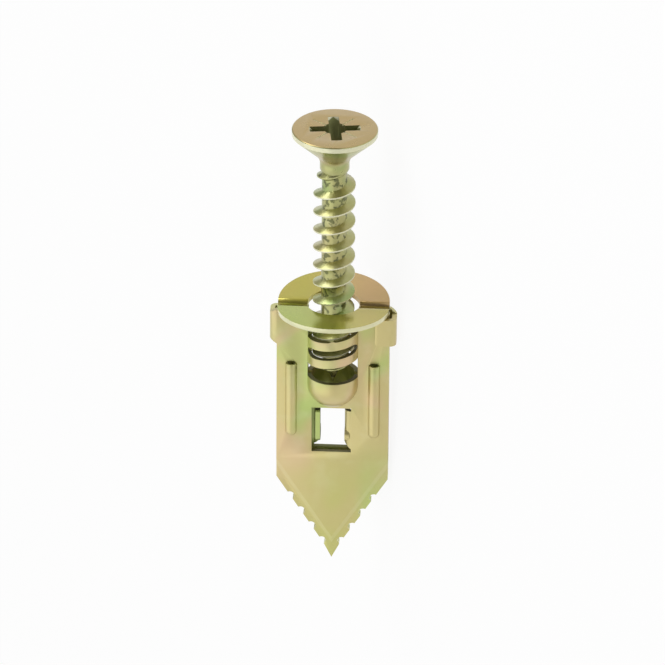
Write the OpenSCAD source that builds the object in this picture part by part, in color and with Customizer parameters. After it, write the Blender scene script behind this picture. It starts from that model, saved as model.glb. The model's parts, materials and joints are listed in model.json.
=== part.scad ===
// Hammer-in anchor for plasterboard: two hooked sheet-steel halves and a countersunk screw.
//
// Each piece is drawn upright: the screw's axis is Z, the collar's top is at z = 0, the point is
// below it, and the front half lies on the -Y side. The rear half is the same pressing turned half
// a turn about the screw's axis. The finished assembly is then laid on its side, as it comes to
// rest: the rear half touches the floor with its collar's rim, its ear and one edge of its leg,
// and the head of the screw points along +Y.

/* [Sheet] */
// Thickness of the sheet steel
sheet_t = 0.5; // [0.4:0.05:0.6]
// Gap between the two legs
leg_gap = 0.6; // [0.5:0.05:0.8]
// Inside radius of every fold
fold_r = 0.2; // [0.15:0.05:0.3]

/* [Collar] */
// Diameter of the round collar
collar_d = 11.8; // [11:0.1:13]
// How far each half of the collar dishes up, in degrees
collar_rise = 4.5; // [0:0.5:6]
// Diameter of the screw hole in the collar
hole_d = 5.6; // [5.2:0.1:6.2]

/* [Leg] */
// Width of the leg
leg_w = 11.9; // [11.4:0.1:13]
// Collar to the shoulders of the point
shoulder_z = 21; // [20:0.5:24]
// Half the angle of the point, in degrees
point_angle = 32; // [30:0.2:38]

/* [Point] */
// Width of the border that is set inwards along the point
border_w = 1.24; // [1:0.05:1.6]
// Width of the sloping step into the border
border_step = 0.45; // [0.3:0.05:0.6]
// Clearance between the two borders
border_gap = 0.08; // [0.04:0.02:0.16]
// Notches along each side of the point
notch_count = 4; // [2:1:4]
// Radius of a notch
notch_r = 0.5; // [0.3:0.05:0.6]
// Depth of a notch
notch_depth = 0.45; // [0.2:0.05:0.45]
// Spacing of the notches
notch_pitch = 2.15; // [1.8:0.05:2.3]
// Shoulder to the first notch
notch_start = 2.8; // [2:0.05:3.2]
// Width across the barbs of the arrow tip
barb_w = 1.64; // [1.4:0.02:1.9]
// Collar to the barbs
barb_z = 29.25; // [29:0.05:30]
// Collar to the tip of the point
tip_z = 30.9; // [30.5:0.1:33]

/* [Screw channel] */
// Clearance around the screw's thread
channel_play = 0.1; // [0.06:0.02:0.2]
// Collar to the middle of the first strip
strip_z = 3.78; // [3.6:0.02:4]
// Height of a strip
strip_h = 1; // [0.8:0.05:1.2]
// Number of strips
strip_count = 2; // [1:1:2]
// Width of the slots between the strips
slot_w = 5.3; // [4.8:0.1:5.6]
// Collar to the lower edge of the last slot
mouth_z = 8.35; // [8:0.05:8.8]
// Collar to the centre of the channel's round end
channel_end_z = 9.4; // [9.2:0.05:9.8]

/* [Window] */
// Collar to the top of the window
window_z = 12.3; // [12.3:0.1:13]
// Height of the window
window_h = 5.35; // [4.8:0.05:5.8]
// Screw axis to the window's open side
window_side = 2.2; // [2:0.05:2.5]
// Screw axis to the face of the lug
lug_x = 1.3; // [1.1:0.05:1.5]
// Inner face of the leg to the free end of the lug
lug_reach = 1.2; // [0.8:0.05:1.3]
// Height of the relief above and below the lug
lug_relief = 0.35; // [0.3:0.05:0.6]
// Radius of the lug's lower corner
lug_corner = 0.9; // [0.3:0.05:0.9]

/* [Ribs] */
// Screw axis to the middle of a rib
rib_x = 4.4; // [4.1:0.05:4.6]
// Collar to the open top of a rib
rib_z = 6.95; // [6.5:0.05:8]
// Length of a rib
rib_len = 8.85; // [6:0.05:9.5]
// Width of a rib
rib_w = 1.28; // [1.1:0.02:1.5]
// How far a rib stands out of the leg
rib_h = 0.5; // [0.3:0.05:0.6]
// Thickness of the sheet drawn out over a rib
rib_wall = 0.22; // [0.18:0.02:0.3]

/* [Ear] */
// Clearance between the ear and the other half's edge
ear_side_gap = 0.26; // [0.2:0.02:0.4]
// Clearance between the ear and the other half's outer face
ear_lap_gap = 0.25; // [0.22:0.01:0.4]
// How far the ear laps over the other half
ear_lap = 1.47; // [1:0.01:1.6]
// Collar to the top of the ear
ear_z = 1.05; // [1:0.05:1.4]
// Height of the ear
ear_h = 3.1; // [2.6:0.05:3.4]
// Extra height of the ear at its root
ear_root = 0.5; // [0.3:0.05:0.6]
// Radius of the ear's corners
ear_corner = 0.35; // [0.2:0.05:0.5]

/* [Screw] */
// Length of the screw
screw_len = 30.2; // [29.5:0.1:31]
// How far the head's top stands above the collar
screw_out = 20.75; // [20:0.05:21]
// Diameter of the head
head_d = 9; // [8.4:0.1:9.4]
// Height of the head's rim
rim_h = 0.6; // [0.3:0.05:0.8]
// Half the angle of the countersunk cone, in degrees
sink_angle = 47; // [45:1:50]
// Radius of the blend under the head
neck_r = 1.6; // [1:0.1:2]
// Diameter of the plain shank
shank_d = 3.1; // [2.9:0.05:3.3]
// Head's top to the lower end of the plain shank
shank_end = 4.6; // [4.2:0.1:5.2]
// Diameter of the thread
thread_d = 4.4; // [4.2:0.05:4.6]
// Diameter of the thread's core
core_d = 2.65; // [2.4:0.05:2.9]
// Pitch of the thread
thread_pitch = 2.1; // [2:0.02:2.2]
// Width of the thread at its root
thread_root = 1.15; // [0.8:0.05:1.4]
// Width of the thread at its crest
thread_crest = 0.16; // [0.1:0.02:0.3]
// Length of the pointed end
screw_tip = 3.4; // [2.6:0.1:4]
// How far the thread's front crests lie below the middle of a slot
thread_drop = 0.45; // [0:0.05:1]

/* [Recess] */
// Width across the recess
recess_d = 5.4; // [4.6:0.1:5.8]
// Width of a wing of the recess
wing_w = 1.15; // [0.9:0.05:1.3]
// Depth of the recess
recess_depth = 2.6; // [2:0.1:3]
// Diameter of the recess's core
recess_core = 2.5; // [2.2:0.1:2.8]
// Width of the marks between the wings
tick_w = 0.14; // [0.08:0.02:0.2]
// Turn of the recess about the screw's axis, in degrees
recess_turn = 7.4; // [0:0.2:90]

/* [Hidden] */
$fn = 64;
eps = 0.01;
far = 40;

// The leg's faces, as distances from the screw's axis plane
leg_in = leg_gap / 2;
leg_out = leg_in + sheet_t;
border_in = border_gap / 2;
border_out = border_in + sheet_t;

// Folds
bend_out = fold_r + sheet_t;
fold_y = leg_in + bend_out;
// Centre of the folds that turn in from the leg's outer face
turn_in_y = -leg_out + bend_out;
collar_cy = leg_in + sheet_t / 2;

// Screw channel
channel_in = thread_d / 2 + channel_play;
channel_out = channel_in + sheet_t;
strip_lean = atan(thread_pitch / (PI * (channel_in + channel_out)));
slot_h = thread_pitch - strip_h;
strip_top = -strip_z + strip_h / 2;
last_strip_end = strip_top - (strip_count - 1) * thread_pitch - strip_h;

// Point
point_end_z = shoulder_z + leg_w / 2 / tan(point_angle);
// Where the crease of the border starts at the leg's edge, and where its two sides meet
crease_side_z = shoulder_z - border_w / sin(point_angle);
crease_end_z = point_end_z - border_w / sin(point_angle);
neck_z = barb_z - notch_r;
neck_x = barb_w / 2 - notch_depth / 2;

// Lug, folded inwards along the window's other side
lug_fold_x = lug_x + bend_out;
lug_tip_y = -leg_in + lug_reach;
lug_top = -window_z - lug_relief;
lug_end = -window_z - window_h + lug_relief;

// Rib
rib_r = rib_w / 2;
rib_y = -(leg_out + rib_h - rib_r);
rib_ball_z = -rib_z - rib_len + rib_r;

// Ear
ear_out = leg_w / 2 + ear_side_gap + sheet_t;
ear_fold_x = ear_out - bend_out;
lap_out = leg_out + ear_lap_gap + sheet_t;
lap_end_x = leg_w / 2 - ear_lap;
ear_end_z = ear_z + ear_h;

// Screw
screw_end = screw_out - screw_len;
shank_r = shank_d / 2;
core_r = core_d / 2;
cone_end = screw_out - rim_h - (head_d / 2 - shank_r) / tan(sink_angle);
neck_reach = neck_r * tan(sink_angle / 2);
head_edge = rim_h / 6;
neck_steps = 6;
shank_fade = 2 * (shank_r - core_r);
thread_top = screw_out - shank_end;
thread_end = screw_end + screw_tip / 5;
thread_height = (thread_d - core_d) / 2;
thread_steps = 24;
// Lengths over which the thread grows out of the point and fades out below the shank
grow_len = screw_tip * 0.6;
run_out = thread_pitch * 0.75;
// How deep the thread is rooted in the core, and how close to the axis its root may come
root_sink = 0.25;
root_min = 0.04;
// Height of the thread where it starts and ends
crest_min = 0.02;
// Height of the thread's crest where its turning angle is 0, with its front crests in the slots
crest_z = -strip_z - thread_pitch / 2 - thread_drop - 0.75 * thread_pitch;

// Recess
recess_floor_r = recess_core / 3;
tick_reach = recess_d * 0.55;

// How the assembly lies: the rim of the rear half's collar, its ear's fold and the edge of its leg
// where the border's crease starts touch the floor. The floor is the plane
// a * x + b * y - slope * z = reach, in the upright frame, with a and b the sine and cosine of the
// roll. The ear and the leg's edge give the slope, and the rim then gives the roll.
rise = tan(collar_rise);
rim_under = fold_r / cos(collar_rise) - bend_out - fold_y * rise;
function floor_slope(roll) =
    (sin(roll) * (ear_fold_x - leg_w / 2) + (1 - cos(roll)) * bend_out)
    / (crease_side_z - ear_end_z);
function edge_reach(roll) =
    sin(roll) * leg_w / 2 + cos(roll) * leg_out + floor_slope(roll) * crease_side_z;
function rim_reach(roll) =
    let (slope = floor_slope(roll), b = cos(roll) - slope * rise)
    norm([sin(roll), b]) * collar_d / 2 + b * collar_cy - slope * rim_under;
function solve_roll(low, high, steps = 40) =
    let (mid = (low + high) / 2)
    steps == 0 ? mid
    : rim_reach(mid) > edge_reach(mid) ? solve_roll(mid, high, steps - 1)
    : solve_roll(low, mid, steps - 1);
lie_roll = solve_roll(1, 89);
lie_pitch = atan(floor_slope(lie_roll));
lie_lift = edge_reach(lie_roll) * cos(lie_pitch);
head_reach = screw_out * cos(lie_pitch) + (head_d / 2 - head_edge) * sin(lie_pitch);
tip_reach = tip_z * cos(lie_pitch) + border_out * cos(lie_roll) * sin(lie_pitch);
lie_shift = (tip_reach - head_reach) / 2;

// Lays what is drawn upright on the floor.
module laid_down() {
    translate([0, lie_shift, lie_lift])
        rotate([lie_pitch - 90, 0, 0])
            rotate([0, 0, lie_roll])
                children();
}

// A flat shape drawn in x and z, given depth from y0 to y1.
module upright(y0, y1) {
    translate([0, y1, 0])
        rotate([90, 0, 0])
            linear_extrude(y1 - y0)
                children();
}

// A quarter or less of a folded sheet's section, from angle a0 to a1 about the fold's centre.
module fold_section(a0, a1) {
    intersection() {
        difference() {
            circle(bend_out);
            circle(fold_r);
        }
        polygon([
            [0, 0],
            [cos(a0), sin(a0)] * far,
            [cos((a0 + a1) / 2), sin((a0 + a1) / 2)] * 2 * far,
            [cos(a1), sin(a1)] * far,
        ]);
    }
}

// A rectangle whose two corners on the right are rounded, the lower one by r0, the upper by r1.
module tongue(width, height, r0, r1) {
    square([width - max(r0, r1), height]);
    translate([0, r0])
        square([width, height - r0 - r1]);
    square([width - r0, height / 2]);
    translate([0, height / 2])
        square([width - r1, height / 2]);
    translate([width - r0, r0])
        circle(r0);
    translate([width - r1, height - r1])
        circle(r1);
}

// ---- Sheet half ----

// Section of the collar and its fold: distance from the axis plane, then z.
module collar_section() {
    translate([fold_y, -bend_out]) {
        fold_section(90 + collar_rise, 180);
        rotate(collar_rise)
            translate([0, fold_r])
                square([collar_d, sheet_t]);
    }
}

// The half collar with its fold, cut round.
module collar() {
    intersection() {
        rotate([90, 0, -90])
            linear_extrude(collar_d + leg_w, center = true)
                collar_section();
        translate([0, -collar_cy, -bend_out])
            cylinder(d = collar_d, h = 4 * bend_out);
    }
}

// Outline of the leg below the collar's fold, in x and z.
module leg_outline() {
    along = [-sin(point_angle), -cos(point_angle)];
    outwards = [cos(point_angle), -sin(point_angle)];
    difference() {
        polygon([
            [-leg_w / 2, -bend_out],
            [-leg_w / 2, -shoulder_z],
            [0, -point_end_z],
            [leg_w / 2, -shoulder_z],
            [leg_w / 2, -bend_out],
        ]);
        for (side = [-1, 1], i = [0:notch_count - 1]) {
            at = [leg_w / 2, -shoulder_z]
                + along * (notch_start + i * notch_pitch)
                + outwards * (notch_r - notch_depth);
            translate([side * at[0], at[1]])
                circle(notch_r);
        }
    }
    polygon([
        [-neck_x, -neck_z],
        [-barb_w / 2, -barb_z],
        [0, -tip_z],
        [barb_w / 2, -barb_z],
        [neck_x, -neck_z],
    ]);
}

// The leg's flat sheet, stepped inwards along both sides of the point.
module leg_sheet() {
    intersection() {
        for (side = [0, 1])
            mirror([side, 0, 0])
                intersection() {
                    translate([0, 0, -crease_end_z])
                        rotate([0, point_angle, 0])
                            linear_extrude(3 * far, center = true)
                                polygon([
                                    [-far, -leg_out],
                                    [0, -leg_out],
                                    [border_step, -border_out],
                                    [far, -border_out],
                                    [far, -border_in],
                                    [border_step, -border_in],
                                    [0, -leg_in],
                                    [-far, -leg_in],
                                ]);
                    translate([0, -leg_w, -far])
                        cube([leg_w, leg_w, far]);
                }
        upright(-leg_w, 0)
            leg_outline();
    }
}

// The bulge of the screw channel, with its round lower end.
module channel_bulge() {
    intersection() {
        union() {
            translate([0, 0, -channel_end_z])
                cylinder(r = channel_out, h = channel_end_z);
            translate([0, 0, -channel_end_z])
                sphere(channel_out);
        }
        upright(-channel_out, -leg_in)
            polygon([
                [-leg_w / 2, -window_z],
                [leg_w / 2, -window_z],
                [leg_w / 2, strip_top + leg_w / 2 * tan(strip_lean)],
                [-leg_w / 2, strip_top - leg_w / 2 * tan(strip_lean)],
            ]);
    }
}

// The space inside the channel.
module channel_bore() {
    translate([0, 0, -channel_end_z]) {
        cylinder(r = channel_in, h = channel_end_z + bend_out);
        sphere(channel_in);
    }
}

// A slot's outline, centred, with round ends.
module slot_outline() {
    square([slot_w - slot_h, slot_h], center = true);
    for (side = [-1, 1])
        translate([side * (slot_w - slot_h) / 2, 0])
            circle(slot_h / 2);
}

// Everything cut through the front of the channel: the opening above the strips, the slots
// between them and the last slot, which ends square.
module channel_slots() {
    half = slot_w / 2;
    lean = half * tan(strip_lean);
    polygon([
        [-half, -bend_out],
        [-half, strip_top - lean],
        [half, strip_top + lean],
        [half, -bend_out],
    ]);
    if (strip_count > 1)
        for (i = [1:strip_count - 1])
            translate([0, -strip_z - (i - 0.5) * thread_pitch])
                rotate(strip_lean)
                    slot_outline();
    polygon([
        [-half, last_strip_end - lean],
        [-half, -mouth_z],
        [half, -mouth_z],
        [half, last_strip_end + lean],
    ]);
}

// The lug, folded inwards at the side of the window.
module lug() {
    intersection() {
        translate([lug_fold_x, turn_in_y, lug_end])
            linear_extrude(lug_top - lug_end)
                fold_section(180, 270);
        upright(-leg_out, 0)
            polygon([
                [lug_x, lug_top],
                [lug_fold_x, lug_top],
                [lug_fold_x, lug_end],
                [lug_x, lug_end + bend_out],
            ]);
    }
    translate([lug_x, turn_in_y, lug_end + bend_out])
        rotate([90, 0, 90])
            linear_extrude(sheet_t)
                tongue(
                    lug_tip_y - turn_in_y, lug_top - lug_end - bend_out,
                    lug_corner, fold_r);
}

// Section across a rib: the drawn bump outside, or the groove behind it.
module rib_section(r) {
    circle(r);
    translate([-r, 0])
        square([2 * r, -rib_y - leg_in]);
}

module rib_bump() {
    translate([0, rib_y, rib_ball_z]) {
        cylinder(r = rib_r, h = rib_len - rib_r);
        sphere(rib_r);
    }
}

module rib_groove() {
    translate([0, rib_y, rib_ball_z]) {
        linear_extrude(rib_len - rib_r + rib_wall)
            rib_section(rib_r - rib_wall);
        sphere(rib_r - rib_wall);
    }
}

// The ear: it leaves the leg's left edge and hooks round the other half.
module ear_section() {
    translate([-ear_fold_x, -leg_out])
        square([ear_fold_x - lap_end_x, sheet_t]);
    translate([-ear_fold_x, turn_in_y])
        fold_section(180, 270);
    translate([-ear_out, turn_in_y])
        square([sheet_t, lap_out - bend_out - turn_in_y]);
    translate([-ear_fold_x, lap_out - bend_out])
        fold_section(90, 180);
    translate([-ear_fold_x, lap_out - sheet_t])
        square([ear_fold_x - lap_end_x, sheet_t]);
}

module ear() {
    intersection() {
        translate([0, 0, -shoulder_z])
            linear_extrude(shoulder_z)
                ear_section();
        union() {
            upright(-leg_out, turn_in_y)
                polygon([
                    [-leg_w / 2, -ear_z + ear_root],
                    [-ear_out, -ear_z],
                    [-ear_out, -ear_end_z],
                    [-leg_w / 2, -ear_end_z - ear_root],
                    [-lap_end_x, -ear_end_z - ear_root],
                    [-lap_end_x, -bend_out],
                    [-leg_w / 2, -bend_out],
                ]);
            upright(turn_in_y, lap_out)
                translate([-ear_out, -ear_end_z])
                    tongue(ear_out - lap_end_x, ear_h, ear_corner, ear_corner);
        }
    }
}

// One folded half, drawn as the front one.
module sheet_half() {
    difference() {
        union() {
            collar();
            leg_sheet();
            channel_bulge();
            for (side = [-1, 1])
                translate([side * rib_x, 0, 0])
                    rib_bump();
        }
        translate([0, 0, -bend_out - eps])
            cylinder(d = hole_d, h = far);
        channel_bore();
        upright(-leg_w, leg_w)
            channel_slots();
        upright(-leg_w, leg_w)
            translate([-window_side, -window_z - window_h])
                square([window_side + lug_fold_x, window_h]);
        for (side = [-1, 1])
            translate([side * rib_x, 0, 0])
                rib_groove();
    }
    lug();
    ear();
}

// ---- Screw ----

function core_at(z) = core_r * min(1, (z - screw_end) / screw_tip);
function crest_at(z) =
    core_at(z) + crest_min + thread_height * max(0, min(
        1, (thread_top - z) / run_out, (z - thread_end) / grow_len));

// The thread, one closed section carried up along its helix.
module thread() {
    first = ceil((thread_end - crest_z) / thread_pitch * thread_steps);
    last = floor((thread_top - crest_z) / thread_pitch * thread_steps);
    rings = [for (i = [first:last])
        let (
            turn = 360 * i / thread_steps,
            z = crest_z + thread_pitch * i / thread_steps,
            root = max(core_at(z) - root_sink, root_min),
            crest = crest_at(z)
        )
        for (p = [
            [root, -thread_root / 2], [crest, -thread_crest / 2],
            [crest, thread_crest / 2], [root, thread_root / 2],
        ])
            [p[0] * cos(turn), p[0] * sin(turn), z + p[1]]];
    count = last - first;
    polyhedron(rings, [
        [0, 2, 1], [0, 3, 2],
        for (i = [0:count - 1], k = [0:3])
            let (a = 4 * i + k, b = 4 * i + (k + 1) % 4)
            each [[a, b, a + 4], [b, b + 4, a + 4]],
        [4 * count, 4 * count + 1, 4 * count + 2],
        [4 * count, 4 * count + 2, 4 * count + 3],
    ]);
}

// Head, neck, shank, core and point, turned in one.
module screw_blank() {
    neck = [for (a = [180 - sink_angle:sink_angle / neck_steps:180])
        [shank_r + neck_r + neck_r * cos(a), cone_end - neck_reach + neck_r * sin(a)]];
    rotate_extrude()
        polygon(concat(
            [
                [0, screw_out],
                [head_d / 2 - head_edge, screw_out],
                [head_d / 2, screw_out - head_edge],
                [head_d / 2, screw_out - rim_h],
            ],
            neck,
            [
                [shank_r, thread_top],
                [core_r, thread_top - shank_fade],
                [core_r, screw_end + screw_tip],
                [0, screw_end],
            ]
        ));
}

// Cross recess with four wings, and a thin mark between each two.
module recess() {
    translate([0, 0, screw_out - recess_depth])
        intersection() {
            union() {
                for (turn = [0, 90])
                    rotate(turn)
                        translate([-recess_d / 2, -wing_w / 2, 0])
                            cube([recess_d, wing_w, 2 * recess_depth]);
                cylinder(d = recess_core, h = 2 * recess_depth);
            }
            union() {
                cylinder(r1 = recess_floor_r, r2 = recess_d / 2, h = recess_depth);
                translate([0, 0, recess_depth - eps])
                    cylinder(d = recess_d, h = recess_depth);
            }
        }
    for (turn = [45:90:315])
        rotate(turn)
            translate([0, -tick_w / 2, screw_out - tick_w])
                cube([tick_reach, tick_w, 2 * tick_w]);
}

// ---- The pieces, where they lie ----

module front_half() {
    color("#bdb26e")
        laid_down()
            sheet_half();
}

module rear_half() {
    color("#b3a663")
        laid_down()
            rotate([0, 0, 180])
                sheet_half();
}

module screw() {
    color("#c2ab6b")
        laid_down()
            difference() {
                union() {
                    screw_blank();
                    thread();
                }
                rotate([0, 0, recess_turn])
                    recess();
            }
}

front_half();
rear_half();
screw();
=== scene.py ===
import json
import math

import bmesh
import bpy
from bpy.props import FloatProperty, FloatVectorProperty, PointerProperty
from mathutils import Matrix, Vector


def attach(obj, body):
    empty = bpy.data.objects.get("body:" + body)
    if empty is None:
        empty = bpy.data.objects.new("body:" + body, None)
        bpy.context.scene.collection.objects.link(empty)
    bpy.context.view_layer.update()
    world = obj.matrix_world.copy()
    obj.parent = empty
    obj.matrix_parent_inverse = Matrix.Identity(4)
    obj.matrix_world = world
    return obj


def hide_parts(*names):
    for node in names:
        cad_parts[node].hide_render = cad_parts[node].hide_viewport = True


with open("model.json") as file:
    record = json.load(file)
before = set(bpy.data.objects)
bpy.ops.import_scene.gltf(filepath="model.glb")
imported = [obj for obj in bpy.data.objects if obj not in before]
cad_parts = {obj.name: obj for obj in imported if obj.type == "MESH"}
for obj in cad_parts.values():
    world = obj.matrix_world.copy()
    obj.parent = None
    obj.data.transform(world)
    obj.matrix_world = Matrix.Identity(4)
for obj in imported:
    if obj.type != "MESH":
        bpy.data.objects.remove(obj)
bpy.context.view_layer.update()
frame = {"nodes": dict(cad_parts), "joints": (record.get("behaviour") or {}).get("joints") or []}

bl_info = {
    "name": "Hammer-in Anchor",
    "version": (1, 0, 0),
    "blender": (4, 5, 0),
    "location": "3D View > Sidebar > Anchor",
    "description": "Dresses a sheet-steel plasterboard anchor and its screw in yellow zinc",
    "category": "Object",
}

MM = 0.001
HALVES = ("front_half", "rear_half")
SCREW = "screw"

# Vertices closer than this are merged before the edges are rounded.
MERGE = 0.002 * MM
# Edges sharper than SHARP are rounded, those sharper than CREASE stay crisp, and faces that turn
# less than FLAT are joined.
SHARP = math.radians(38)
CREASE = math.radians(24)
FLAT = math.radians(0.5)
# Steps across a rounded edge, and the material slot that marks its faces
ROUND_STEPS = 2
ROUNDED = 1

# Places on the sheet halves, in millimetres in the upright frame: the collar's lower edge, top
# and rim, how far the slots reach to each side, the stretches of the leg that hold the slots and
# the window, the top of the point, and the least and greatest share that the step's normal turns
# to the front, with how pale the step's painted highlight is.
COLLAR_LOW, COLLAR_TOP, COLLAR_RIM = -0.75, -0.3, 5.8
SLOT_REACH = 2.8
SLOTS_LOW, SLOTS_HIGH = -8.8, -1.2
WINDOW_LOW, WINDOW_HIGH = -18.2, -11.9
POINT_TOP = -18.5
STEP_SLOPE = (0.8, 0.95)
STEP_PALE = 0.14
# Shares of the normal that tell the sheet's thickness, which gets painted shade, from its two faces
SLOT_FACING, WINDOW_FACING = 0.6, 0.3
# Distance to each side over which the collar's colour drifts, and the heights over which the
# point turns olive
DRIFT = 4 * MM
POINT_DRIFT = (-25, -15)
# How strongly the collar and the point take their own colours, and how much smoother the collar is
COLLAR_SHARE, POINT_SHARE = 0.85, 0.6
COLLAR_SMOOTH = 0.14

# Places on the screw: the head's top, the recess and the marks beside it, the rim, the neck's
# tan stretch, the shank's lower end, and the radii that part the thread's crest and its core.
# SKIN is a hair's breadth under the head's top, RECESS_SHARE how dark the painted shade in the
# recess is, HEAD_SHARE and
# NECK_SHARE how warm the head's top and the neck are, and HALF_TURNED the share of a normal that
# tells a wall.
HEAD_TOP = 20.75
SKIN = 0.02
TICK_LOW, TICK_RADIUS = 20.55, 3.1
RECESS_LOW, RECESS_RADIUS = 17.8, 2.75
RECESS_SHARE = 0.75
HALF_TURNED = 0.5
RIM_RADIUS = 4.3
NECK = (16.9, 17.5, 18.6, 19.3)
HEAD_SHARE, NECK_SHARE = 0.85, 0.5
SHANK_LOW = 15.9
CREST_RADIUS, CORE_RADIUS = 2.12, 1.42
# Size of the dark blotches of painted shade on the thread's core, and the noise levels between
# which they set in
BLOTCH = 0.6 * MM
BLOTCH_LEVELS = (0.5, 0.6)

# The plating: the noise levels between which green, the warm tone and the pale clouds set in,
# how strongly green and the clouds show, and the weight and roughness of the clear coat.
GREEN_LEVELS, GREEN_SHARE = (0.48, 0.68), 0.8
WARM_LEVELS = (0.48, 0.7)
CLOUD_LEVELS, CLOUD_SHARE = (0.45, 0.8), 0.18
CLOUD_ROUGH = 0.16
# Sizes of the warm patches and of the clouds, as shares of the green patches' size
WARM_PATCH, CLOUD_PATCH = 0.9, 0.3
COAT, COAT_ROUGH = 0.25, 0.12
# Size of the grain, and the height and the strength of the bump
GRAIN = 0.4 * MM
BUMP, BUMP_STRENGTH = 0.02 * MM, 0.05
# How strongly the painted shade on the core's blotches and the cut faces, and the painted highlight
# on the edges, cover the plating
CORE_SHARE, DARK_SHARE, HIGHLIGHT_SHARE = 0.85, 0.85, 0.8
# How much duller the cut faces under painted shade are, and how much smoother and less metallic the
# edges under painted highlight
DARK_ROUGH, HIGHLIGHT_SMOOTH, HIGHLIGHT_UNMETAL = 0.2, 0.04, 0.35
# Distance between the two halves in the noise, so that their patches differ
HALF_SHIFT = 31.7 * MM
# The screw's own place in the noise
SCREW_SHIFT = 12 * MM

# The studio's light from above, from the pale table below and how much dimmer it is in front,
# with the levels between which the table ends and how far forward the dim side begins.
LIGHT_ABOVE = 0.42
LIGHT_BELOW = 0.95
FRONT_DIM = 0.36
TABLE_EDGE = (-0.16, 0.04)
FRONT_SIDE = (0.1, 0.7)
# Share of the floor's look that is plain white, and not lit by the lamps
FLOOR_GLOW = 0.9
# Half the floor's width, in metres
FLOOR_REACH = 1.5
# Each lamp's place in the upright frame and its width, in metres, and its power in watts
LAMPS = {
    "key": ((-0.3, 0.05, 0.5), 0.35, 1.6),
    "fill": ((-0.35, -0.3, -0.05), 0.7, 0.8),
}
# The picture's width in pixels, the camera's sensor in millimetres, and how many pixels right of
# and above the picture's middle the collar's centre lies
PICTURE = 665
SENSOR = 36
COLLAR_RIGHT, COLLAR_ABOVE = 0.9, 29.3

# The anchor's own upright frame: Z along the screw to its head, X across the leg, and the origin
# on the screw's axis where the legs leave the collar. It is read from the record's joints.
JOINTS = {joint["name"]: joint for joint in frame["joints"]}
UP = Vector(JOINTS["screw_travel"]["axis"]).normalized()
ACROSS = -Vector(JOINTS["leg_spread"]["axis"]).normalized()
REARWARD = UP.cross(ACROSS)
# Height of the legs' pivot in that frame
PIVOT_Z = -2.6 * MM
ORIGIN = Vector(JOINTS["leg_spread"]["pos_m"]) - UP * PIVOT_Z
UPRIGHT = Matrix.Translation(ORIGIN) @ Matrix((ACROSS, REARWARD, UP)).transposed().to_4x4()


class SheetSettings(bpy.types.PropertyGroup):
    """Finish of the two folded halves"""

    base: FloatVectorProperty(
        name="Base", description="Colour of the plating", subtype="COLOR",
        size=3, min=0, max=1, default=(0.62, 0.53, 0.23))
    green: FloatVectorProperty(
        name="Green", description="Colour where the plating turns green", subtype="COLOR",
        size=3, min=0, max=1, default=(0.45, 0.6, 0.17))
    pink: FloatVectorProperty(
        name="Pink", description="Colour where the plating turns pink", subtype="COLOR",
        size=3, min=0, max=1, default=(0.74, 0.47, 0.33))
    # The edge colour is painted highlight on the rounded edges, the collar's rim and the point's
    # step, and also the pale clouds in the plating
    edge: FloatVectorProperty(
        name="Edge", description="Colour of rubbed edges", subtype="COLOR",
        size=3, min=0, max=1, default=(0.86, 0.84, 0.55))
    lime: FloatVectorProperty(
        name="Lime", description="Colour of the front collar's left", subtype="COLOR",
        size=3, min=0, max=1, default=(0.34, 0.44, 0.045))
    gold: FloatVectorProperty(
        name="Gold", description="Colour of the front collar's right and the rear one's left",
        subtype="COLOR",
        size=3, min=0, max=1, default=(0.46, 0.4, 0.045))
    olive: FloatVectorProperty(
        name="Olive", description="Colour of the point", subtype="COLOR",
        size=3, min=0, max=1, default=(0.55, 0.57, 0.16))
    rose: FloatVectorProperty(
        name="Rose", description="Colour of the rear collar's right", subtype="COLOR",
        size=3, min=0, max=1, default=(0.53, 0.33, 0.14))
    # This colour is painted shade on the sheet's cut faces in the slots and the window
    dark: FloatVectorProperty(
        name="Dark", description="Colour of the bare cut faces in the slots", subtype="COLOR",
        size=3, min=0, max=1, default=(0.09, 0.085, 0.025))
    patch: FloatProperty(
        name="Patch", description="Size of the colour patches", subtype="DISTANCE",
        unit="LENGTH", default=8.5 * MM)
    rounding: FloatProperty(
        name="Rounding", description="Radius of the rolled edges", subtype="DISTANCE",
        unit="LENGTH", default=0.045 * MM)


class ScrewSettings(bpy.types.PropertyGroup):
    """Finish of the screw"""

    base: FloatVectorProperty(
        name="Base", description="Colour of the plating", subtype="COLOR",
        size=3, min=0, max=1, default=(0.43, 0.43, 0.17))
    green: FloatVectorProperty(
        name="Green", description="Colour where the plating turns green", subtype="COLOR",
        size=3, min=0, max=1, default=(0.3, 0.4, 0.13))
    head: FloatVectorProperty(
        name="Head", description="Colour of the head's top and of warm patches",
        subtype="COLOR", size=3, min=0, max=1, default=(0.45, 0.31, 0.13))
    # This colour is painted shade in the recess and in blotches on the thread's core
    dark: FloatVectorProperty(
        name="Dark", description="Colour of the recess and of blotches on the core",
        subtype="COLOR", size=3, min=0, max=1, default=(0.09, 0.1, 0.03))
    # The edge colour is painted highlight on the rounded edges, the thread's crest, the head's rim
    # and the marks, and also the pale clouds in the plating
    edge: FloatVectorProperty(
        name="Edge", description="Colour of rubbed edges", subtype="COLOR",
        size=3, min=0, max=1, default=(0.86, 0.84, 0.6))
    patch: FloatProperty(
        name="Patch", description="Size of the colour patches", subtype="DISTANCE",
        unit="LENGTH", default=5 * MM)
    rounding: FloatProperty(
        name="Rounding", description="Radius of the rolled edges", subtype="DISTANCE",
        unit="LENGTH", default=0.05 * MM)


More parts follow.
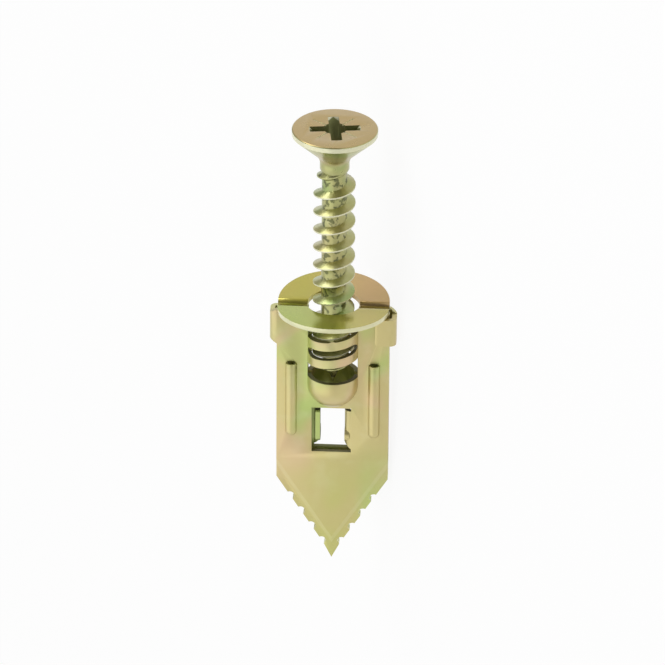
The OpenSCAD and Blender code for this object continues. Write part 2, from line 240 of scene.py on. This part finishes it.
class StageSettings(bpy.types.PropertyGroup):
    """Camera and light"""

    turn: FloatProperty(
        name="Turn", description="Camera's turn about the screw's axis",
        subtype="ANGLE", unit="ROTATION", default=math.radians(3.1))
    rise: FloatProperty(
        name="Rise", description="Camera's height above the collar's plane",
        subtype="ANGLE", unit="ROTATION", default=math.radians(29))
    distance: FloatProperty(
        name="Distance", description="Camera to the collar", subtype="DISTANCE",
        unit="LENGTH", default=700 * MM)
    lens: FloatProperty(
        name="Lens", description="Focal length in millimetres on a 36 mm sensor",
        default=359.6)
    roll: FloatProperty(
        name="Roll", description="Camera's roll about its view",
        subtype="ANGLE", unit="ROTATION", default=math.radians(0.45))


# ---- Shader expressions ----

class Value:
    """A shader socket that does arithmetic by adding Math nodes."""

    def __init__(self, shader, socket):
        self.shader = shader
        self.socket = socket

    def _math(self, operation, first, second):
        return self.shader.node(
            "ShaderNodeMath", {"operation": operation}, {0: first, 1: second})["Value"]

    def __add__(self, other):
        return self._math("ADD", self, other)

    def __radd__(self, other):
        return self._math("ADD", other, self)

    def __sub__(self, other):
        return self._math("SUBTRACT", self, other)

    def __rsub__(self, other):
        return self._math("SUBTRACT", other, self)

    def __mul__(self, other):
        return self._math("MULTIPLY", self, other)


class Outputs:
    """The outputs of one node, as values."""

    def __init__(self, shader, node):
        self.shader = shader
        self.node = node

    def __getitem__(self, key):
        return Value(self.shader, self.node.outputs[key])


class Nodes:
    """A node tree, and the one way to add nodes to it."""

    def __init__(self, tree):
        self.tree = tree

    def node(self, kind, settings=None, inputs=None):
        node = self.tree.nodes.new(kind)
        for key, value in (settings or {}).items():
            setattr(node, key, value)
        for key, value in (inputs or {}).items():
            self.feed(node.inputs[key], value)
        return Outputs(self, node)

    def feed(self, socket, value):
        if isinstance(value, Value):
            self.tree.links.new(value.socket, socket)
        else:
            socket.default_value = value

    def band(self, value, low, high):
        """0 below low and 1 above high, smoothly."""
        return self.node("ShaderNodeMapRange", {"interpolation_type": "SMOOTHSTEP"}, {
            "Value": value, "From Min": low, "From Max": high})["Result"]

    def along(self, vector, direction):
        """How far a vector reaches along a direction."""
        return self.node("ShaderNodeVectorMath", {"operation": "DOT_PRODUCT"}, {
            0: vector, 1: direction})["Value"]

    def larger(self, first, second):
        return self.node("ShaderNodeMath", {"operation": "MAXIMUM"}, {
            0: first, 1: second})["Value"]

    def blend(self, mask, below, above, output):
        """Mixes two shaders by a mask into the tree's output."""
        mixed = self.node("ShaderNodeMixShader", None, {0: mask, 1: below, 2: above})
        self.tree.links.new(mixed["Shader"].socket, output.inputs["Surface"])


class Shader(Nodes):
    """A material with one principled surface."""

    def __init__(self, name):
        self.material = bpy.data.materials.new(name)
        self.material.use_nodes = True
        super().__init__(self.material.node_tree)
        self.surface = self.tree.nodes["Principled BSDF"]

    def set(self, **values):
        for key, value in values.items():
            self.feed(self.surface.inputs[key.replace("_", " ")], value)

    def upright(self):
        """Object coordinates turned into the anchor's upright frame, in metres."""
        where = self.node("ShaderNodeTexCoord")["Object"]
        turn = UPRIGHT.inverted()
        return self.node("ShaderNodeMapping", {"vector_type": "POINT"}, {
            "Vector": where, "Location": turn.to_translation(),
            "Rotation": turn.to_euler("XYZ")})["Vector"]

    def noise(self, where, size, detail=2.0, distortion=0.0, offset=(0, 0, 0)):
        moved = self.node("ShaderNodeVectorMath", {"operation": "ADD"}, {
            0: where, 1: offset})["Vector"]
        return self.node("ShaderNodeTexNoise", {"noise_dimensions": "3D"}, {
            "Vector": moved, "Scale": 1 / size, "Detail": detail,
            "Distortion": distortion})["Fac"]

    def mix(self, mask, below, above):
        node = self.tree.nodes.new("ShaderNodeMix")
        node.data_type = "RGBA"
        self.feed(node.inputs["Factor"], mask)
        for key, value in (("A", below), ("B", above)):
            socket = next(s for s in node.inputs if s.name == key and s.type == "RGBA")
            self.feed(socket, value if isinstance(value, Value) else (*value, 1))
        return Value(self, next(s for s in node.outputs if s.type == "RGBA"))

    def part(self, vector, axis):
        return self.node("ShaderNodeSeparateXYZ", None, {"Vector": vector})[axis]

    def attribute(self, name):
        return self.node("ShaderNodeAttribute", {"attribute_name": name})["Fac"]


class Zinc(Shader):
    """Yellow-passivated zinc: a gold ground that drifts to green and to a warm tone."""

    def __init__(self, name, look, warm, shift, warmth, metal, rough):
        super().__init__(name)
        self.look = look
        self.metal = metal
        self.where = self.upright()
        greens = self.noise(self.where, look.patch, 1, 0.6, (shift, 0, 0))
        warms = self.noise(self.where, look.patch * WARM_PATCH, 1, 0.8, (0, shift, 0.3))
        self.cloud = self.noise(self.where, look.patch * CLOUD_PATCH, 2, 0.3)
        self.colour = self.mix(
            self.band(greens, *GREEN_LEVELS) * GREEN_SHARE, look.base, look.green)
        self.cover(self.band(warms, *WARM_LEVELS) * warmth, warm)
        self.cover(self.band(self.cloud, *CLOUD_LEVELS) * CLOUD_SHARE, look.edge)
        self.rough = rough + (self.cloud - 0.5) * CLOUD_ROUGH
        self.set(Normal=self.satin(), Coat_Roughness=COAT_ROUGH)

    def satin(self):
        """The plating's soft unevenness, as a bump."""
        grain = self.noise(self.where, GRAIN, 1)
        return self.node("ShaderNodeBump", None, {
            "Height": grain * 0.5 + self.cloud * 0.5, "Strength": BUMP_STRENGTH,
            "Distance": BUMP})["Normal"]

    def cover(self, mask, colour):
        self.colour = self.mix(mask, self.colour, colour)

    def height_band(self, low, high):
        """0 below low and 1 above high, both heights in millimetres."""
        return self.band(self.part(self.where, "Z"), low * MM, high * MM)

    def finish(self):
        """Lays the painted shade on the core, the cut faces and the recess, and the painted
        highlight on the edges, over the plating.
        """
        rubbed = self.attribute("rubbed")
        dark = self.attribute("dark")
        # Dark blotches on the thread's core between its turns are painted shade
        blotch = self.band(self.noise(self.where, BLOTCH, 2, 0.4), *BLOTCH_LEVELS)
        self.cover(self.attribute("core") * blotch * CORE_SHARE, self.look.dark)
        self.cover(dark * DARK_SHARE, self.look.dark)
        self.cover(rubbed * HIGHLIGHT_SHARE, self.look.edge)
        self.set(Base_Color=self.colour, Coat_Weight=COAT - dark * COAT,
                 Metallic=self.metal - rubbed * HIGHLIGHT_UNMETAL,
                 Roughness=self.rough + dark * DARK_ROUGH - rubbed * HIGHLIGHT_SMOOTH)


# ---- Pieces ----

def softened(node, name, rounding):
    """A merged copy of a CAD node with its sharp edges rounded, in a material slot of their own."""
    piece = bpy.data.objects.new(name, frame["nodes"][node].data.copy())
    bpy.context.scene.collection.objects.link(piece)
    mesh = bmesh.new()
    mesh.from_mesh(piece.data)
    bmesh.ops.remove_doubles(mesh, verts=mesh.verts, dist=MERGE)
    bmesh.ops.dissolve_degenerate(mesh, edges=mesh.edges, dist=MERGE)
    bmesh.ops.dissolve_limit(mesh, angle_limit=FLAT, verts=mesh.verts, edges=mesh.edges)
    for face in mesh.faces:
        face.material_index = 0
        face.smooth = True
    mesh.to_mesh(piece.data)
    mesh.free()
    piece.data.materials.clear()
    for _ in range(ROUNDED + 1):
        piece.data.materials.append(None)
    bevel = piece.modifiers.new("rounding", "BEVEL")
    bevel.width = rounding
    bevel.segments = ROUND_STEPS
    bevel.limit_method = "ANGLE"
    bevel.angle_limit = SHARP
    bevel.material = ROUNDED
    graph = bpy.context.evaluated_depsgraph_get()
    skin = bpy.data.meshes.new_from_object(piece.evaluated_get(graph))
    piece.modifiers.clear()
    piece.data = skin
    return piece


def mark(skin, **tests):
    """Gives each face a value per test of its place, in mm, and its normal, both upright.

    The rounded edges get the painted highlight wherever they are, and nothing else.
    """
    upright = UPRIGHT.inverted()
    turn = upright.to_3x3()
    rounded = [face.material_index == ROUNDED for face in skin.polygons]
    for name, test in tests.items():
        on_edge = float(name == "rubbed")
        values = [
            on_edge if edge else test(upright @ face.center / MM, turn @ face.normal)
            for face, edge in zip(skin.polygons, rounded)]
        skin.attributes.new(name, "FLOAT", "FACE").data.foreach_set("value", values)
    skin.polygons.foreach_set("material_index", [0] * len(skin.polygons))
    skin.materials.clear()
    skin.set_sharp_from_angle(angle=CREASE)


def sheet_rubbed(place, normal):
    """Painted highlight on the collar's rim, and at part strength on the sloping step along the
    point.
    """
    if place.z < POINT_TOP:
        low, high = STEP_SLOPE
        return STEP_PALE * float(low < abs(normal.y) < high)
    return float(place.z > COLLAR_LOW and math.hypot(place.x, place.y) > COLLAR_RIM)


def cut_dark(place, normal):
    """Painted shade on the sheet's thickness in the slots and in the window."""
    if abs(place.x) > SLOT_REACH:
        return 0.0
    if SLOTS_LOW < place.z < SLOTS_HIGH:
        return float(abs(normal.z) > SLOT_FACING)
    if WINDOW_LOW < place.z < WINDOW_HIGH:
        return float(abs(normal.y) < WINDOW_FACING)
    return 0.0


def screw_rubbed(place, normal):
    """Painted highlight on the thread's crest, the head's rim and the marks between the recess's
    wings.
    """
    radius = math.hypot(place.x, place.y)
    if place.z < SHANK_LOW:
        return float(radius > CREST_RADIUS)
    tick = TICK_LOW < place.z < HEAD_TOP - SKIN and radius < TICK_RADIUS
    return float(tick or (radius > RIM_RADIUS and abs(normal.z) < HALF_TURNED))


def recess_dark(place, normal):
    """Painted shade inside the recess, whose faces don't look outward as the cone's do."""
    radius = math.hypot(place.x, place.y)
    outward = place.x * normal.x + place.y * normal.y
    inside = radius < RECESS_RADIUS and outward < HALF_TURNED * radius
    return RECESS_SHARE * float(inside and RECESS_LOW < place.z < TICK_LOW)


def thread_core(place, normal):
    """The core between the turns of the thread."""
    return float(place.z < SHANK_LOW and math.hypot(place.x, place.y) < CORE_RADIUS)


def dress(piece, node, shader):
    """Gives a piece its material and lets it stand for its CAD node."""
    shader.finish()
    piece.data.materials.append(shader.material)
    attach(piece, node)
    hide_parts(node)


class ANCHOR_OT_halves(bpy.types.Operator):
    """Makes both folded halves, with rounded edges and their plating"""

    bl_idname = "anchor.halves"
    bl_label = "Folded halves"

    def execute(self, context):
        look = context.scene.anchor_sheet
        collars = ((look.lime, look.gold), (look.gold, look.rose))
        for index, (node, (left, right)) in enumerate(zip(HALVES, collars)):
            shader = Zinc(node + "_zinc", look, look.pink, shift=index * HALF_SHIFT,
                          warmth=0.6, metal=0.62, rough=0.36)
            colour_half(shader, look, left, right)
            piece = softened(node, node + "_skin", look.rounding)
            mark(piece.data, rubbed=sheet_rubbed, dark=cut_dark)
            dress(piece, node, shader)
        return {"FINISHED"}


def colour_half(shader, look, left, right):
    """The collar's drift from left to right, and the olive point with its green right side."""
    across = shader.part(shader.where, "X")
    top = shader.height_band(COLLAR_LOW, COLLAR_TOP)
    shader.cover(top * COLLAR_SHARE, shader.mix(shader.band(across, -DRIFT, DRIFT), left, right))
    shader.rough = shader.rough - top * COLLAR_SMOOTH
    point = 1 - shader.height_band(*POINT_DRIFT)
    shader.cover(point * POINT_SHARE, look.olive)
    shader.cover(point * shader.band(across, DRIFT * 0.5, DRIFT) * POINT_SHARE, look.green)


class ANCHOR_OT_screw(bpy.types.Operator):
    """Makes the screw, with rounded edges and its plating"""

    bl_idname = "anchor.screw"
    bl_label = "Screw"

    def execute(self, context):
        look = context.scene.anchor_screw
        shader = Zinc("screw_zinc", look, look.head, shift=SCREW_SHIFT,
                      warmth=0.25, metal=0.7, rough=0.3)
        top = shader.height_band(HEAD_TOP - 4 * SKIN, HEAD_TOP - SKIN)
        neck = shader.height_band(*NECK[:2]) - shader.height_band(*NECK[2:])
        shader.cover(top * HEAD_SHARE, look.head)
        shader.cover(neck * NECK_SHARE, look.head)
        piece = softened(SCREW, "screw_skin", look.rounding)
        mark(piece.data, rubbed=screw_rubbed, dark=recess_dark, core=thread_core)
        dress(piece, SCREW, shader)
        return {"FINISHED"}


# ---- Stage ----

def camera(look):
    """The camera, set in the upright frame and then laid down with the anchor."""
    back = Vector((
        math.sin(look.turn) * math.cos(look.rise),
        -math.cos(look.turn) * math.cos(look.rise),
        math.sin(look.rise)))
    right = Vector((-back.y, back.x, 0)).normalized()
    up = back.cross(right)
    pixel = look.distance / (look.lens / SENSOR * PICTURE)
    aim = right * (-COLLAR_RIGHT * pixel) - up * (COLLAR_ABOVE * pixel)
    away = (back * look.distance - aim).normalized()
    side = Vector((-away.y, away.x, 0)).normalized()
    axes = Matrix((side, away.cross(side), away)).transposed()
    pose = Matrix.Translation(back * look.distance) @ axes.to_4x4()
    pose = pose @ Matrix.Rotation(look.roll, 4, "Z")
    data = bpy.data.cameras.new("camera")
    data.lens = look.lens
    data.sensor_width = SENSOR
    data.clip_start = 0.01
    data.clip_end = 10
    eye = bpy.data.objects.new("camera", data)
    eye.matrix_world = UPRIGHT @ pose
    bpy.context.scene.collection.objects.link(eye)
    bpy.context.scene.camera = eye


def lamp(name, where, size, power):
    """A square lamp at a place in the upright frame, turned to the anchor."""
    data = bpy.data.lights.new(name, "AREA")
    data.size = size
    data.energy = power
    light = bpy.data.objects.new(name, data)
    place = Vector(where)
    turn = place.to_track_quat("Z", "Y").to_matrix().to_4x4()
    light.matrix_world = UPRIGHT @ Matrix.Translation(place) @ turn
    bpy.context.scene.collection.objects.link(light)


class ANCHOR_OT_stage(bpy.types.Operator):
    """Makes the white floor, the lamps and the camera"""

    bl_idname = "anchor.stage"
    bl_label = "Stage"

    def execute(self, context):
        look = context.scene.anchor_stage
        camera(look)
        mesh = bpy.data.meshes.new("floor")
        form = bmesh.new()
        bmesh.ops.create_grid(form, x_segments=1, y_segments=1, size=FLOOR_REACH)
        form.to_mesh(mesh)
        form.free()
        floor = bpy.data.objects.new("floor", mesh)
        bpy.context.scene.collection.objects.link(floor)
        floor.data.materials.append(floor_white())
        studio_world()
        for name, (place, size, power) in LAMPS.items():
            lamp(name, place, size, power)
        context.scene.view_settings.view_transform = "Standard"
        return {"FINISHED"}


def floor_white():
    """A floor that looks white to the eye and in reflections, but still takes a shadow."""
    shader = Shader("floor_white")
    shader.set(Base_Color=(0.9, 0.9, 0.9, 1), Roughness=0.9)
    shader.surface.inputs["Specular IOR Level"].default_value = 0
    path = shader.node("ShaderNodeLightPath")
    glow = shader.node("ShaderNodeEmission", None, {"Color": (1, 1, 1, 1), "Strength": 1.0})
    mirrored = shader.larger(path["Is Glossy Ray"], path["Is Transmission Ray"])
    seen = shader.larger(mirrored, path["Is Camera Ray"]) * FLOOR_GLOW
    plain = Value(shader, shader.surface.outputs[0])
    shader.blend(seen, plain, glow["Emission"], shader.tree.nodes["Material Output"])
    return shader.material


def studio_world():
    """A studio with a pale table below and a dim side in front; the eye sees it as white."""
    world = bpy.data.worlds.new("studio")
    bpy.context.scene.world = world
    world.use_nodes = True
    nodes = Nodes(world.node_tree)
    where = nodes.node("ShaderNodeTexCoord")["Generated"]
    above = nodes.band(nodes.along(where, UP), *TABLE_EDGE)
    front = nodes.band(nodes.along(where, -REARWARD), *FRONT_SIDE)
    light = LIGHT_BELOW - above * (LIGHT_BELOW - LIGHT_ABOVE) - above * front * FRONT_DIM
    pale = nodes.node("ShaderNodeBackground", None, {"Color": (1, 1, 1, 1), "Strength": light})
    white = nodes.node("ShaderNodeBackground", None, {"Color": (1, 1, 1, 1), "Strength": 1.0})
    path = nodes.node("ShaderNodeLightPath")
    nodes.blend(path["Is Camera Ray"], pale["Background"], white["Background"],
                nodes.tree.nodes["World Output"])


class ANCHOR_PT_panel(bpy.types.Panel):
    """Lists the anchor's settings and its operators"""

    bl_idname = "ANCHOR_PT_panel"
    bl_label = "Hammer-in anchor"
    bl_space_type = "VIEW_3D"
    bl_region_type = "UI"
    bl_category = "Anchor"

    def draw(self, context):
        for group in (context.scene.anchor_sheet, context.scene.anchor_screw,
                      context.scene.anchor_stage):
            box = self.layout.box()
            for name in group.__annotations__:
                box.prop(group, name)
        for operator in OPERATORS:
            self.layout.operator(operator.bl_idname)


OPERATORS = (ANCHOR_OT_halves, ANCHOR_OT_screw, ANCHOR_OT_stage)
SETTINGS = {
    "anchor_sheet": SheetSettings,
    "anchor_screw": ScrewSettings,
    "anchor_stage": StageSettings,
}
CLASSES = (*SETTINGS.values(), *OPERATORS, ANCHOR_PT_panel)


def register():
    for item in CLASSES:
        bpy.utils.register_class(item)
    for name, group in SETTINGS.items():
        setattr(bpy.types.Scene, name, PointerProperty(type=group))


def unregister():
    for name in SETTINGS:
        delattr(bpy.types.Scene, name)
    for item in reversed(CLASSES):
        bpy.utils.unregister_class(item)


def main():
    register()
    bpy.ops.anchor.halves()
    bpy.ops.anchor.screw()
    bpy.ops.anchor.stage()


if __name__ == "__main__":
    main()
